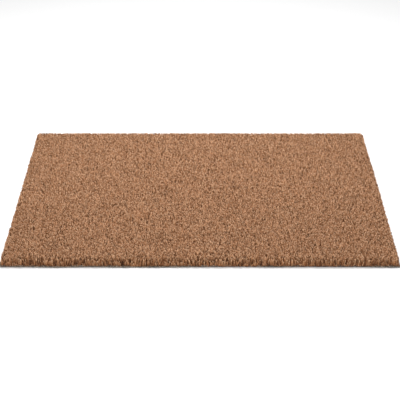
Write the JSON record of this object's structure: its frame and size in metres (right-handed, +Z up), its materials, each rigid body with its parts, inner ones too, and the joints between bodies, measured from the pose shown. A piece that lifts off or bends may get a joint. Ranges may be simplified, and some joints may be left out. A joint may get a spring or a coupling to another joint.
{
  "type": "door mat",
  "caption": "Rectangular natural coir door mat: upright cut coir tufts, set in rows in a thin dark grey PVC backing sheet.",
  "frame": {"origin": "middle of the flat underside, which lies on the floor", "axes": "+X along the long side, the way the tuft rows run; +Y from the front edge to the back edge; +Z up"},
  "size_m": [0.6, 0.4, 0.015],
  "materials": {
    "coir": "matte",
    "pvc": "matte"
  },
  "bodies": {
    "root": {"pvc_backing": "pvc", "tuft_row_01": "coir", "tuft_row_02": "coir", "tuft_row_03": "coir", "tuft_row_04": "coir", "tuft_row_05": "coir", "tuft_row_06": "coir", "tuft_row_07": "coir", "tuft_row_08": "coir", "tuft_row_09": "coir", "tuft_row_10": "coir", "tuft_row_11": "coir", "tuft_row_12": "coir", "tuft_row_13": "coir", "tuft_row_14": "coir", "tuft_row_15": "coir", "tuft_row_16": "coir", "tuft_row_17": "coir", "tuft_row_18": "coir", "tuft_row_19": "coir", "tuft_row_20": "coir", "tuft_row_21": "coir", "tuft_row_22": "coir", "tuft_row_23": "coir", "tuft_row_24": "coir", "tuft_row_25": "coir", "tuft_row_26": "coir", "tuft_row_27": "coir", "tuft_row_28": "coir", "tuft_row_29": "coir", "tuft_row_30": "coir", "tuft_row_31": "coir", "tuft_row_32": "coir", "tuft_row_33": "coir", "tuft_row_34": "coir", "tuft_row_35": "coir", "tuft_row_36": "coir", "tuft_row_37": "coir", "tuft_row_38": "coir", "tuft_row_39": "coir", "tuft_row_40": "coir", "tuft_row_41": "coir", "tuft_row_42": "coir", "tuft_row_43": "coir", "tuft_row_44": "coir", "tuft_row_45": "coir", "tuft_row_46": "coir", "tuft_row_47": "coir", "tuft_row_48": "coir", "tuft_row_49": "coir", "tuft_row_50": "coir", "tuft_row_51": "coir", "tuft_row_52": "coir", "tuft_row_53": "coir", "tuft_row_54": "coir", "tuft_row_55": "coir", "tuft_row_56": "coir", "tuft_row_57": "coir"}
  },
  "joints": []
}
